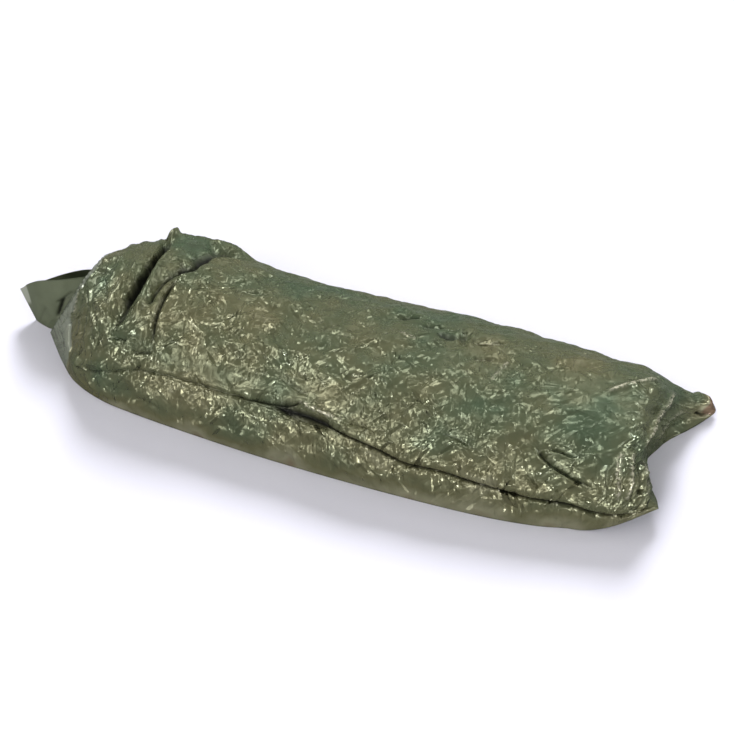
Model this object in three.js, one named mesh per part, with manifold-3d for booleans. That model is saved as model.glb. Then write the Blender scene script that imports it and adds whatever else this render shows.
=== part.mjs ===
// An emergency sleeping bag of thin metallised film, lying full on flat ground.
// Two sheets are welded along both sides and across the foot. The mouth has a
// turned hem, and a plain hood stands at the head end, its back edge welded.
//
// Millimetres, +Z up. The bag lies along X, with its mouth at -X and its foot
// at +X. Its near side is -Y. The ground is z = 0.

import * as THREE from 'three';
import Module from 'manifold-3d';
import { mergeVertices } from 'three/addons/utils/BufferGeometryUtils.js';

// Driving dimensions

const SHEET = 2;            // film and its air, as one wall
const COLUMNS = 33;         // steps over the top of one hoop
const FOOT_ROWS = 11;       // steps from the last hoop down to the foot weld
const FOOT_REACH = 300;     // length of the foot panel along its crown
const FOOT_ROW_EASE = 0.92; // below 1, rows crowd a little at the foot weld
const LEAST_CAVITY = 4.5;   // sheets nearer than this many walls are welded
const WELD_SPREAD = 1.3;    // how much more than that near the foot weld
const EDGE_WALLS = 1.9;     // walls from a floor edge in to the cavity
const MOUTH_CLEAR = 24;     // how far the cut runs out of the mouth
const CRUMPLE = 4.5;        // height of the film's broad facets
const SEAT_GAP = 0.3;       // between sheets that lie on each other
const EDGE_CALM = 34;       // the film lies calm this near the ground
const HOOD_STEPS = 7;       // steps up each wall of the hood
const HOOD_FLANGE = 9;      // width of the weld down the back of the hood
const RIM_CLEAR = 30;       // how far the cut runs out over the hood's rims
const MERGE = 1e-3;         // points nearer than this are one
const OLIVE = 0x5b6140;
const HOOD_OLIVE = 0x59613f;

// Hoops across the bag, from the mouth to the top of the foot. Each lies flat
// on the ground from near to far, rises to its crown, and is squarer than an
// ellipse where square is below 1.

const HOOP_COLUMNS = ['floorX', 'crownX', 'near', 'far', 'crownY', 'crownZ', 'square'];
const HOOPS = [
  [-1105, -960, -55, 205, 70, 250, 1.0],
  [-1050, -930, -110, 250, 75, 266, 1.0],
  [-985, -895, -172, 300, 80, 281, 1.0],
  [-900, -850, -240, 354, 85, 288, 0.98],
  [-780, -770, -287, 390, 90, 292, 0.94],
  [-650, -650, -305, 408, 90, 286, 0.9],
  [-450, -450, -318, 404, 75, 262, 0.86],
  [-200, -200, -327, 414, 62, 250, 0.85],
  [50, 50, -325, 430, 60, 250, 0.85],
  [300, 300, -315, 438, 70, 244, 0.85],
  [500, 500, -299, 438, 82, 234, 0.86],
  [640, 650, -275, 430, 95, 227, 0.87],
  [730, 760, -247, 427, 105, 227, 0.88],
];
const LAST_HOOP = HOOPS.length - 1;
const MOUTH_X = HOOPS[0][0];
const FOOT_X = HOOPS[LAST_HOOP][0];

// The foot weld from its near corner (across = -1) to its far one (1). Both
// corners are drawn out and stand a little off the ground.

const WELD_COLUMNS = ['across', 'x', 'y', 'z'];
const FOOT_WELD = [
  [-1.0, 950, -114, 46],
  [-0.8, 931, -68, 38],
  [-0.6, 907, -26, 26],
  [-0.35, 873, 28, 13],
  [-0.1, 850, 84, 3],
  [0.05, 848, 122, 1],
  [0.3, 866, 186, 1],
  [0.55, 888, 252, 1],
  [0.75, 924, 302, 3],
  [0.9, 958, 368, 8],
  [1.0, 969, 450, 18],
];

// Length between rows, from each place along the bag to the next

const ROW_STEPS = [
  { from: MOUTH_X, step: 32 },
  { from: -985, step: 44 },
  { from: -810, step: 21 },
  { from: -590, step: 46 },
  { from: -400, step: 68 },
  { from: 480, step: 42 },
];

// The near side weld runs the whole length, low on the near side. The upper
// sheet lies over the lower one, so a groove runs under its lip.

const SIDE_WELD_COLUMNS = ['along', 'degrees', 'groove', 'lip'];
const SIDE_WELD = [
  [-1105, 16, 0, 0],
  [-960, 12, 3, 3],
  [-860, 14, 7, 5],
  [-760, 21, 10, 6],
  [-640, 29, 12, 7],
  [-490, 34, 13, 8],
  [-270, 35, 13, 8],
  [-130, 38, 20, 9],
  [50, 33, 15, 8],
  [180, 27, 12, 7],
  [340, 25, 12, 7],
  [530, 23, 12, 7],
  [650, 19, 12, 6],
  [790, 14, 9, 4],
  [1030, 12, 0, 0],
];
const GROOVE_WIDTH = 17;
const LIP_WIDTH = 13;

// Main folds. Each runs from one place to another by way of a third, given as
// a length along the bag and degrees round it from the near floor edge. A
// positive height is a ridge and a negative one a trough.

const FOLD_COLUMNS = ['fromAlong', 'fromDegrees', 'viaAlong', 'viaDegrees',
  'toAlong', 'toDegrees', 'height', 'width'];
const FOLDS = {
  chestTrough: [-846, 128, -742, 76, -786, 34, -40, 27],
  chestBand: [-796, 126, -716, 76, -738, 40, 18, 23],
  bandTrough: [-628, 100, -690, 76, -668, 52, -27, 22],
  innerTrough: [-664, 88, -655, 66, -622, 44, -18, 18],
  shoulderRidge: [-850, 96, -836, 62, -862, 30, 12, 34],
  farLump: [-750, 116, -690, 125, -570, 127, 48, 50],
  lumpTrough: [-652, 94, -612, 104, -470, 117, -22, 26],
  hemCrease: [-1066, 20, -1064, 80, -1066, 150, -7, 13],
  mouthGather: [-1100, 42, -1010, 46, -900, 56, -8, 14],
  mouthPleat: [-1100, 68, -1010, 70, -920, 74, 7, 14],
  sidePocket: [-690, 34, -650, 41, -596, 36, -12, 16],
  lowFold: [-660, 8, -600, 10, -550, 8, -7, 12],
  hipFold: [330, 45, 390, 47, 446, 41, -9, 18],
  topFold: [120, 98, 200, 108, 290, 99, -9, 20],
  farFold: [300, 104, 330, 112, 368, 106, -10, 20],
  crownFold: [285, 84, 320, 92, 356, 88, 7, 18],
  footTrough: [548, 54, 640, 45, 756, 31, -21, 17],
  footRidge: [540, 42, 640, 34, 740, 24, 10, 16],
  smallFold: [632, 56, 666, 52, 702, 50, -8, 12],
  tensionRidge: [726, 92, 784, 106, 842, 120, 10, 26],
  toeCrest: [846, 140, 838, 95, 846, 52, 11, 26],
  toeTrough: [900, 128, 905, 95, 900, 60, -12, 34],
};

// The hood's sections, from its tail inside the mouth to its welded back edge.
// Each has a floor line and two walls, which bow out and lean in to the rims.

const HOOD_COLUMNS = ['nearX', 'nearY', 'farX', 'farY', 'floorZ', 'nearRimX', 'nearRimY',
  'nearRimZ', 'farRimX', 'farRimY', 'farRimZ', 'bow'];
const LIFT = SHEET + SEAT_GAP;
const HOOD = [
  [-1062, -66, -1058, 204, LIFT, -930, 28, 226, -1000, 172, 134, 15],
  [-1088, -44, -1084, 182, LIFT, -966, 23, 216, -1030, 164, 132, 15],
  [-1110, -39, -1108, 166, LIFT, -1000, 10, 208, -1062, 154, 130, 14],
  [-1128, -35, -1130, 150, 0, -1050, -12, 199, -1094, 145, 124, 13],
  [-1148, -29, -1152, 118, 0, -1102, -20, 186, -1128, 126, 117, 11],
  [-1165, -24, -1170, 78, 0, -1152, -18, 168, -1164, 98, 109, 8],
  [-1177, -19, -1181, 30, 0, -1200, -6, 136, -1204, 58, 99, 4],
  [-1183, -16, -1184, -6, 0, -1236, 8, 102, -1237, 22, 90, 1],
];
const HOOD_TIP = { floor: [-1186, -14, 0], rim: [-1257, 18, 84] };

// Small tools for tables, curves and points

const radians = THREE.MathUtils.degToRad;
const clamp = THREE.MathUtils.clamp;
const smooth = (low, high, x) => THREE.MathUtils.smoothstep(x, low, high);
const bell = (distance, width) => Math.exp(-((distance / width) ** 2));
const point = (x, y, z) => new THREE.Vector3(x, y, z);

function named(columns, row) {
  return Object.fromEntries(columns.map((name, i) => [name, row[i]]));
}

// Values of a table at one value of its first column, on a smooth curve
function readTable(columns, rows, at) {
  let i = rows.findIndex((row) => row[0] > at) - 1;
  if (i === -2) i = rows.length - 2;
  i = clamp(i, 0, rows.length - 2);
  const span = rows[i + 1][0] - rows[i][0];
  const t = clamp((at - rows[i][0]) / span, 0, 1);
  const slope = (n, c) => {
    const low = Math.max(n - 1, 0);
    const high = Math.min(n + 1, rows.length - 1);
    return (rows[high][c] - rows[low][c]) / (rows[high][0] - rows[low][0]);
  };
  const values = columns.map((name, c) => {
    if (c === 0) return at;
    return hermite(rows[i][c], slope(i, c) * span, rows[i + 1][c], slope(i + 1, c) * span, t);
  });
  return named(columns, values);
}

function hermite(start, startSlope, end, endSlope, t) {
  const t2 = t * t;
  const t3 = t2 * t;
  return (2 * t3 - 3 * t2 + 1) * start + (t3 - 2 * t2 + t) * startSlope
    + (3 * t2 - 2 * t3) * end + (t3 - t2) * endSlope;
}

// A repeatable number from 0 to 1 for each pair of whole numbers
function chance(i, j) {
  const n = Math.sin(i * 127.1 + j * 311.7) * 43758.5453;
  return n - Math.floor(n);
}

// The bag's smooth form. along is a length from the mouth to the foot weld:
// the hoop's floor X up to the last hoop, and the foot panel beyond it.

const footShare = (along) => clamp((along - FOOT_X) / FOOT_REACH, 0, 1);

function hoopPoint(hoop, angle) {
  const side = Math.sign(Math.cos(angle)) * Math.abs(Math.cos(angle)) ** hoop.square;
  const rise = Math.max(Math.sin(angle), 0);
  const reach = side > 0 ? hoop.crownY - hoop.near : hoop.far - hoop.crownY;
  return point(
    hoop.floorX + (hoop.crownX - hoop.floorX) * rise,
    hoop.crownY - reach * side,
    hoop.crownZ * rise ** hoop.square,
  );
}

function weldPoint(angle) {
  const weld = readTable(WELD_COLUMNS, FOOT_WELD, -Math.cos(angle));
  return point(weld.x, weld.y, weld.z);
}

// From the last hoop down to the foot weld. The top sheet leaves level and
// comes down steeply, and the underside stays low. Each pace is how fast the
// film runs along X and down, at the floor edges and how much more at the crown.
const LEAVING = { along: 300, alongCrown: 60, across: 0.25, downCrown: 10 };
const ARRIVING = { along: 160, alongCrown: -230, across: 1.7, down: 20, downCrown: 330 };
function footPoint(start, angle, share, rise) {
  const end = weldPoint(angle);
  const across = end.y - start.y;
  const leaveX = LEAVING.along + LEAVING.alongCrown * rise;
  const arriveX = ARRIVING.along + ARRIVING.alongCrown * rise;
  const leaveZ = -LEAVING.downCrown * rise;
  const arriveZ = -ARRIVING.down - ARRIVING.downCrown * rise;
  return point(
    hermite(start.x, leaveX, end.x, arriveX, share),
    hermite(start.y, across * LEAVING.across, end.y, across * ARRIVING.across, share),
    Math.max(hermite(start.z, leaveZ, end.z, arriveZ, share), 0),
  );
}

function topPoint(along, angle) {
  const hoop = readTable(HOOP_COLUMNS, HOOPS, Math.min(along, FOOT_X));
  const start = hoopPoint(hoop, angle);
  if (along <= FOOT_X) return start;
  return footPoint(start, angle, footShare(along), Math.max(Math.sin(angle), 0));
}

// The underside's columns are even at the last hoop, and meet the top's at the weld
function undersidePoint(along, angle, evenShare) {
  const hoop = readTable(HOOP_COLUMNS, HOOPS, FOOT_X);
  const across = THREE.MathUtils.lerp(evenShare, (1 - Math.cos(angle)) / 2, footShare(along));
  const start = point(hoop.floorX, THREE.MathUtils.lerp(hoop.near, hoop.far, across), 0);
  return footPoint(start, Math.acos(1 - 2 * across), footShare(along), 0);
}

// Length round the top from the near floor edge, as a table of angle to girth
const GIRTH_SAMPLES = 90;
function girthTable(along) {
  const table = [[0, 0]];
  let last = topPoint(along, 0);
  let girth = 0;
  for (let i = 1; i <= GIRTH_SAMPLES; i += 1) {
    const angle = (i / GIRTH_SAMPLES) * Math.PI;
    const next = topPoint(along, angle);
    girth += next.distanceTo(last);
    table.push([angle, girth]);
    last = next;
  }
  return table;
}

function girthAt(table, angle) {
  const place = clamp((angle / Math.PI) * GIRTH_SAMPLES, 0, GIRTH_SAMPLES);
  const i = Math.min(Math.floor(place), GIRTH_SAMPLES - 1);
  return THREE.MathUtils.lerp(table[i][1], table[i + 1][1], place - i);
}

// Folds, laid out on the film as lines in length along it and girth round it

const FOLD_POINTS = 10;
const FADE_SHARE = 0.22;    // of a fold's length, at each end
const END_HEIGHT = 0.25;    // of its height, left at the very end
function layFold(row) {
  const fold = named(FOLD_COLUMNS, row);
  const line = [];
  for (let i = 0; i <= FOLD_POINTS; i += 1) {
    const t = i / FOLD_POINTS;
    const bend = (from, via, to) => {
      const pull = 2 * via - (from + to) / 2;
      return (1 - t) ** 2 * from + 2 * t * (1 - t) * pull + t * t * to;
    };
    const along = bend(fold.fromAlong, fold.viaAlong, fold.toAlong);
    const angle = radians(bend(fold.fromDegrees, fold.viaDegrees, fold.toDegrees));
    line.push({ along, girth: girthAt(girthTable(along), angle) });
  }
  return { ...fold, line };
}
const LAID_FOLDS = Object.values(FOLDS).map(layFold);

function foldHeight(fold, along, girth) {
  let nearest = Infinity;
  let share = 0;
  for (let i = 0; i < FOLD_POINTS; i += 1) {
    const a = fold.line[i];
    const b = fold.line[i + 1];
    const runAlong = b.along - a.along;
    const runGirth = b.girth - a.girth;
    const reach = (along - a.along) * runAlong + (girth - a.girth) * runGirth;
    const t = clamp(reach / (runAlong ** 2 + runGirth ** 2), 0, 1);
    const distance = Math.hypot(along - a.along - t * runAlong, girth - a.girth - t * runGirth);
    if (distance < nearest) {
      nearest = distance;
      share = (i + t) / FOLD_POINTS;
    }
  }
  const inner = smooth(0, FADE_SHARE, share) * smooth(0, FADE_SHARE, 1 - share);
  return fold.height * bell(nearest, fold.width) * THREE.MathUtils.lerp(END_HEIGHT, 1, inner);
}

function sideWeldHeight(along, girth, table) {
  const weld = readTable(SIDE_WELD_COLUMNS, SIDE_WELD, along);
  const above = girth - girthAt(table, radians(weld.degrees));
  return weld.lip * bell(above - LIP_WIDTH, LIP_WIDTH)
    - weld.groove * bell(above + GROOVE_WIDTH / 2, GROOVE_WIDTH);
}

// Rows of points over the bag's top

function rowPlaces() {
  const places = [];
  ROW_STEPS.forEach(({ from, step }, i) => {
    const to = i + 1 < ROW_STEPS.length ? ROW_STEPS[i + 1].from : FOOT_X;
    const count = Math.round((to - from) / step);
    for (let n = 0; n < count; n += 1) places.push(from + ((to - from) * n) / count);
  });
  for (let n = 0; n <= FOOT_ROWS; n += 1) {
    places.push(FOOT_X + FOOT_REACH * (n / FOOT_ROWS) ** FOOT_ROW_EASE);
  }
  return places;
}

// Columns crowd at the side weld, and are even over the rest of the top
const WELD_SHARES = [0, 0.42, 0.78, 0.95, 1.08, 1.34];
function columnAngles(along) {
  const weld = radians(readTable(SIDE_WELD_COLUMNS, SIDE_WELD, along).degrees);
  const angles = WELD_SHARES.map((share) => share * weld);
  const start = angles.at(-1);
  const rest = COLUMNS - angles.length + 1;
  for (let n = 1; n <= rest; n += 1) angles.push(start + ((Math.PI - start) * n) / rest);
  return angles;
}

// Normals of a grid of points, from each point's neighbours
function gridNormals(rows) {
  return rows.map((row, i) => row.map((p, j) => {
    const before = rows[Math.max(i - 1, 0)][j];
    const after = rows[Math.min(i + 1, rows.length - 1)][j];
    const left = row[Math.max(j - 1, 0)];
    const right = row[Math.min(j + 1, row.length - 1)];
    const normal = after.clone().sub(before).cross(right.clone().sub(left));
    return normal.lengthSq() > 0 ? normal.normalize() : point(0, 0, 1);
  }));
}

const WELD_CALM = [0.8, 0.97];
function topRows(places) {
  const smoothRows = places.map((along) => columnAngles(along).map((a) => topPoint(along, a)));
  const normals = gridNormals(smoothRows);
  return places.map((along, i) => {
    const table = girthTable(along);
    const angles = columnAngles(along);
    const footCalm = 1 - smooth(...WELD_CALM, footShare(along));
    return smoothRows[i].map((p, j) => {
      const girth = girthAt(table, angles[j]);
      const height = LAID_FOLDS.reduce((sum, fold) => sum + foldHeight(fold, along, girth), 0)
        + sideWeldHeight(along, girth, table)
        + CRUMPLE * (2 * chance(i, j) - 1);
      const calm = smooth(0, EDGE_CALM, p.z) * footCalm;
      return p.clone().addScaledVector(normals[i][j], height * calm);
    });
  });
}

function undersideRows(places) {
  return places.filter((along) => along >= FOOT_X)
    .map((along) => columnAngles(along).map((a, j) => undersidePoint(along, a, j / COLUMNS)));
}

// Closed skins, made of triangles that share their corners

class Skin {
  corners = [];

  triangle(a, b, c) {
    this.corners.push(a, b, c);
  }

  sheet(rows, flip = false) {
    for (let i = 0; i + 1 < rows.length; i += 1) {
      for (let j = 0; j + 1 < rows[i].length; j += 1) {
        const [a, b, c, d] = [rows[i][j], rows[i + 1][j], rows[i + 1][j + 1], rows[i][j + 1]];
        if (flip) {
          this.triangle(a, d, b);
          this.triangle(b, d, c);
        } else {
          this.triangle(a, b, c);
          this.triangle(a, c, d);
        }
      }
    }
  }

  // A face inside one loop of points, turned to face a direction
  face(loop, facing) {
    const helper = facing.z === 0 ? point(0, 0, 1) : point(1, 0, 0);
    const u = helper.cross(facing).normalize();
    const v = facing.clone().cross(u).normalize();
    const flat = loop.map((p) => new THREE.Vector2(p.dot(u), p.dot(v)));
    for (const [a, b, c] of THREE.ShapeUtils.triangulateShape(flat, [])) {
      const turn = (flat[b].x - flat[a].x) * (flat[c].y - flat[a].y)
        - (flat[c].x - flat[a].x) * (flat[b].y - flat[a].y);
      if (turn > 0) this.triangle(loop[a], loop[b], loop[c]);
      else this.triangle(loop[a], loop[c], loop[b]);
    }
  }

  solid(wasm) {
    const raw = new THREE.BufferGeometry().setFromPoints(this.corners);
    const merged = mergeVertices(raw, MERGE);
    const index = merged.index.array;
    const triVerts = [];
    for (let i = 0; i < index.length; i += 3) {
      const [a, b, c] = [index[i], index[i + 1], index[i + 2]];
      if (a !== b && b !== c && c !== a) triVerts.push(a, b, c);
    }
    return new wasm.Manifold(new wasm.Mesh({
      numProp: 3,
      vertProperties: new Float32Array(merged.attributes.position.array),
      triVerts: new Uint32Array(triVerts),
    }));
  }
}

// The skin of the bag from its top rows and its foot's underside. The rest of
// the underside is flat, at one height.
function bagSkin(top, under) {
  const skin = new Skin();
  skin.sheet(top);
  skin.sheet(under, true);
  const flatRows = top.slice(0, top.length - under.length);
  const nearEdge = flatRows.map((row) => row[0]);
  const farEdge = flatRows.map((row) => row.at(-1)).reverse();
  skin.face([...nearEdge, ...under[0], ...farEdge], point(0, 0, -1));
  skin.face([...top[0]], point(-1, 0, 0));
  skin.sheet([top.at(-1), under.at(-1)]);
  return skin;
}

// A point moved towards another by a distance, but by no more than a share of the way
function shifted(from, to, distance, most) {
  const way = to.clone().sub(from);
  return from.clone().addScaledVector(way, Math.min(distance / way.length(), most));
}

// The cavity lies one wall inside the skin. Where the two sheets are too near
// each other it stops, and they are welded.
const MOST_PULL = 0.8;
function cavityRows(top, under) {
  const topNormals = gridNormals(top);
  const underNormals = gridNormals(under);
  const flatCount = top.length - under.length;
  const underFor = (i, j) => {
    if (i >= flatCount) return under[i - flatCount][j];
    const row = top[i];
    const share = clamp((row[j].y - row[0].y) / (row.at(-1).y - row[0].y), 0, 1);
    return row[0].clone().lerp(row.at(-1), share).setZ(0);
  };
  const innerTop = [];
  const innerUnder = [];
  for (let i = 0; i < top.length - 1; i += 1) {
    const last = top[i].length - 1;
    const footPart = Math.max(i - flatCount, 0) / FOOT_ROWS;
    const least = LEAST_CAVITY * SHEET * (1 + WELD_SPREAD * footPart);
    const isOpen = (j) => top[i][j].distanceTo(underFor(i, j)) > least;
    const middle = (j) => top[i][j].clone().add(underFor(i, j)).multiplyScalar(0.5);
    let first = 1;
    while (!isOpen(first)) first += 1;
    if (first > 1) first += 1;
    let final = last - 1;
    while (!isOpen(final)) final -= 1;
    const pulledIn = (edge, j) => shifted(edge, middle(j), EDGE_WALLS * SHEET, MOST_PULL);
    const between = (j, k) => middle(j).lerp(middle(k), MOST_PULL);
    const nearPoint = first === 1 ? pulledIn(top[i][0], 1) : between(first, first + 2);
    const farPoint = final === last - 1
      ? pulledIn(top[i][last], last - 1) : between(final, final - 2);
    const inside = (points, normals, sign) => points.map((p, j) => {
      if (j < first || (j === first && first > 1)) return nearPoint;
      if (j > final || (j === final && final < last - 1)) return farPoint;
      return p.clone().addScaledVector(normals[j], sign * SHEET);
    });
    innerTop.push(inside(top[i], topNormals[i], -1));
    if (i >= flatCount) {
      innerUnder.push(inside(under[i - flatCount], underNormals[i - flatCount], 1));
    }
  }
  return { innerTop, innerUnder };
}

// The cavity's floor is level, so its near and far edges lie at one height
function levelFloor(top, innerTop, innerUnder) {
  const flatCount = innerTop.length - innerUnder.length;
  for (let i = 0; i < flatCount; i += 1) {
    const last = innerTop[i].length - 1;
    const inset = EDGE_WALLS * SHEET;
    innerTop[i][0] = top[i][0].clone().add(point(0, inset, SHEET));
    innerTop[i][last] = top[i][last].clone().add(point(0, -inset, SHEET));
  }
  const first = innerUnder[0];
  first.forEach((p, j) => { first[j] = p.clone().setZ(SHEET); });
  innerTop[flatCount][0] = first[0];
  innerTop[flatCount][first.length - 1] = first.at(-1);
}

function bagBody(wasm) {
  const places = rowPlaces();
  const top = topRows(places);
  const under = undersideRows(places);
  under.forEach((row, n) => {
    const above = top[top.length - under.length + n];
    above[0] = row[0];
    above[above.length - 1] = row.at(-1);
  });
  top[top.length - 1] = under.at(-1);
  const outside = bagSkin(top, under).solid(wasm);

  const { innerTop, innerUnder } = cavityRows(top, under);
  levelFloor(top, innerTop, innerUnder);
  const outward = innerTop[0].map((p, j) => {
    const away = p.clone().sub(innerTop[1][j]).setZ(0).normalize();
    return p.clone().addScaledVector(away, MOUTH_CLEAR);
  });
  const cavity = bagSkin([outward, ...innerTop], innerUnder).solid(wasm);
  return outside.subtract(cavity);
}

// The hood

function hoodWall(floor, rim, bow, side) {
  const wall = [];
  for (let n = 0; n <= HOOD_STEPS; n += 1) {
    const t = n / HOOD_STEPS;
    wall.push(floor.clone().lerp(rim, t).add(point(0, side * bow * Math.sin(Math.PI * t), 0)));
  }
  return wall;
}

function hoodWalls() {
  const walls = HOOD.map((row) => {
    const cut = named(HOOD_COLUMNS, row);
    const near = hoodWall(
      point(cut.nearX, cut.nearY, cut.floorZ),
      point(cut.nearRimX, cut.nearRimY, cut.nearRimZ),
      cut.bow,
      -1,
    );
    const far = hoodWall(
      point(cut.farX, cut.farY, cut.floorZ),
      point(cut.farRimX, cut.farRimY, cut.farRimZ),
      cut.bow,
      1,
    );
    return { near, far };
  });
  const back = hoodWall(point(...HOOD_TIP.floor), point(...HOOD_TIP.rim), 0, 1);
  walls.push({ near: back, far: back });
  return walls;
}

// A closed skin from the hood's walls: both sides, floor, lid and tail
function hoodSkin(walls) {
  const skin = new Skin();
  const near = walls.map((wall) => wall.near);
  const far = walls.map((wall) => wall.far);
  skin.sheet(near, true);
  skin.sheet(far);
  const line = (end) => [near, far].map((side) => side.map((wall) => wall.at(end)));
  skin.sheet(line(0), true);
  skin.sheet(line(-1));
  skin.sheet([near[0], far[0]]);
  return skin;
}

const NEARLY_HALF = 0.45;
function hood(wasm) {
  const walls = hoodWalls();
  const outside = hoodSkin(walls).solid(wasm);
  const inner = walls.slice(0, -1).map(({ near, far }) => {
    const nearIn = near.map((p, n) => shifted(p, far[n], SHEET, NEARLY_HALF));
    const farIn = far.map((p, n) => shifted(p, near[n], SHEET, NEARLY_HALF));
    [nearIn, farIn].forEach((wall) => {
      wall[0].z += SHEET;
      wall.push(wall.at(-1).clone().add(point(0, 0, RIM_CLEAR)));
    });
    return { near: nearIn, far: farIn };
  });
  const tail = inner[0];
  const out = (p) => p.clone().add(point(MOUTH_CLEAR, 0, 0));
  const cut = [{ near: tail.near.map(out), far: tail.far.map(out) }, ...inner];
  const last = cut.at(-1);
  const shut = last.near.map((p, n) => {
    const middle = p.clone().lerp(last.far[n], 0.5);
    const back = walls.at(-1).near[Math.min(n, HOOD_STEPS)].clone();
    if (n > HOOD_STEPS) back.z += RIM_CLEAR;
    return shifted(back, middle, HOOD_FLANGE, MOST_PULL);
  });
  cut.push({ near: shut, far: shut });
  return outside.subtract(hoodSkin(cut).solid(wasm));
}

// The finished pieces

function meshOf(manifold, name, colour, roughness, metalness) {
  const mesh = manifold.getMesh();
  const geometry = new THREE.BufferGeometry();
  geometry.setAttribute('position', new THREE.BufferAttribute(mesh.vertProperties, 3));
  geometry.setIndex(new THREE.BufferAttribute(mesh.triVerts, 1));
  geometry.computeVertexNormals();
  const material = new THREE.MeshStandardMaterial({ color: colour, roughness, metalness });
  const piece = new THREE.Mesh(geometry, material);
  piece.name = name;
  return piece;
}

const wasm = await Module();
wasm.setup();

const bag = new THREE.Group();
bag.add(meshOf(bagBody(wasm), 'bag_body', OLIVE, 0.35, 0.5));
bag.add(meshOf(hood(wasm), 'hood', HOOD_OLIVE, 0.5, 0.3));

// The origin is under the middle of the bag, on the ground
const box = new THREE.Box3().setFromObject(bag);
const middle = box.getCenter(new THREE.Vector3());
bag.position.set(-middle.x, -middle.y, -box.min.z);

export default bag;
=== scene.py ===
# An emergency sleeping bag of crinkled metallised film, lying full on a pale
# floor. Its body is one thin shell, welded down both sides and across the foot,
# with a turned hem at the mouth. A plain satin hood stands at the head end.
#
# The form's tables are in millimetres, in the maker's frame: the bag lies along
# X with its mouth at -X and its foot at +X, and its near side is -Y.

import math

import bpy
import numpy as np
from mathutils import Matrix, Vector
from mathutils.bvhtree import BVHTree


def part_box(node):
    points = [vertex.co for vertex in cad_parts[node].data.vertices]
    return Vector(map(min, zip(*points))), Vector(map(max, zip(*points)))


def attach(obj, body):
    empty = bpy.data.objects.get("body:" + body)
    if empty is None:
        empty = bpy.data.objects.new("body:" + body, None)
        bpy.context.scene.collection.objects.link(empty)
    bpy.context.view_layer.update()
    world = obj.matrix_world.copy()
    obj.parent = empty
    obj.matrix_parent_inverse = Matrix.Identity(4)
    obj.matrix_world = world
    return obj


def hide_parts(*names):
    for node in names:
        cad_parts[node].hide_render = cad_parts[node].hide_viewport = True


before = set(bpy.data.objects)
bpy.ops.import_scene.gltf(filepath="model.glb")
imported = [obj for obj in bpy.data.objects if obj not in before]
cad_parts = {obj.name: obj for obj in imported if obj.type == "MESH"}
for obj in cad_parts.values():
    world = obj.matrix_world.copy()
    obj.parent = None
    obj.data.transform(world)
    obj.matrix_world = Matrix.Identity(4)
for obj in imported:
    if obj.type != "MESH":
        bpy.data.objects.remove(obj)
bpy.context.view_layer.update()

MM = 0.001
PHOTO_SIDE = 734            # pixels on each side of the picture
SENSOR = 36.0               # mm

# Fineness of the meshes

ROW_STEP = 6.1              # mm between rows of the film along the bag
FILM_COLUMNS = 220          # steps of film over the top of a hoop
FINER = 1.2                 # how much closer the steps are at the side weld
FINER_REACH = 50            # mm
FLOOR_COLUMNS = 24          # steps of film across the underside
LINING_STEP = 4             # the inside is this many times coarser
WALL = 1.6                  # mm, film and the air in its crinkles
LINING_CLEAR = 2.2          # mm, least room between outside and inside
GIRTH_SAMPLES = 240         # steps in which a hoop's girth is measured

# Hoops across the bag, from the mouth to the top of the foot. Each lies flat on
# the ground from near to far, rises to its crown, and is squarer than an
# ellipse where square is below 1.

HOOP_COLUMNS = ["floor_x", "crown_x", "near", "far", "crown_y", "crown_z", "square"]
HOOPS = [
    [-1105, -960, -55, 205, 70, 250, 1.0],
    [-1050, -930, -110, 250, 75, 266, 1.0],
    [-985, -895, -172, 300, 80, 281, 1.0],
    [-900, -850, -240, 354, 85, 288, 0.98],
    [-780, -770, -287, 390, 90, 292, 0.94],
    [-650, -650, -305, 408, 90, 286, 0.9],
    [-450, -450, -318, 404, 75, 262, 0.86],
    [-200, -200, -327, 414, 62, 250, 0.85],
    [50, 50, -325, 430, 60, 250, 0.85],
    [300, 300, -315, 438, 70, 244, 0.85],
    [500, 500, -299, 438, 82, 234, 0.86],
    [640, 650, -275, 430, 95, 227, 0.87],
    [730, 760, -247, 427, 105, 227, 0.88],
]
MOUTH_X = HOOPS[0][0]
FOOT_X = HOOPS[-1][0]
FOOT_REACH = 300            # length of the foot panel along its crown

# The foot weld from its near corner (across = -1) to its far one (1)

WELD_COLUMNS = ["across", "x", "y", "z"]
FOOT_WELD = [
    [-1.0, 950, -114, 46],
    [-0.8, 931, -68, 38],
    [-0.6, 907, -26, 26],
    [-0.35, 873, 28, 13],
    [-0.1, 850, 84, 3],
    [0.05, 848, 122, 1],
    [0.3, 866, 186, 1],
    [0.55, 888, 252, 1],
    [0.75, 924, 302, 3],
    [0.9, 966, 378, 8],
    [0.95, 980, 418, 14],
    [1.0, 950, 454, 30],
]

# How fast the foot panel leaves the last hoop and arrives at the weld: along X and
# down in mm, at the floor edges and how much more at the crown, and across as a
# share of its whole way across

LEAVING = {"along": 300, "along_crown": 60, "across": 0.25, "down_crown": 10}
ARRIVING = {"along": 160, "along_crown": -230, "across": 1.7, "down": 20, "down_crown": 330}

# The near side weld, low along the whole bag. The upper film laps over it.

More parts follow.
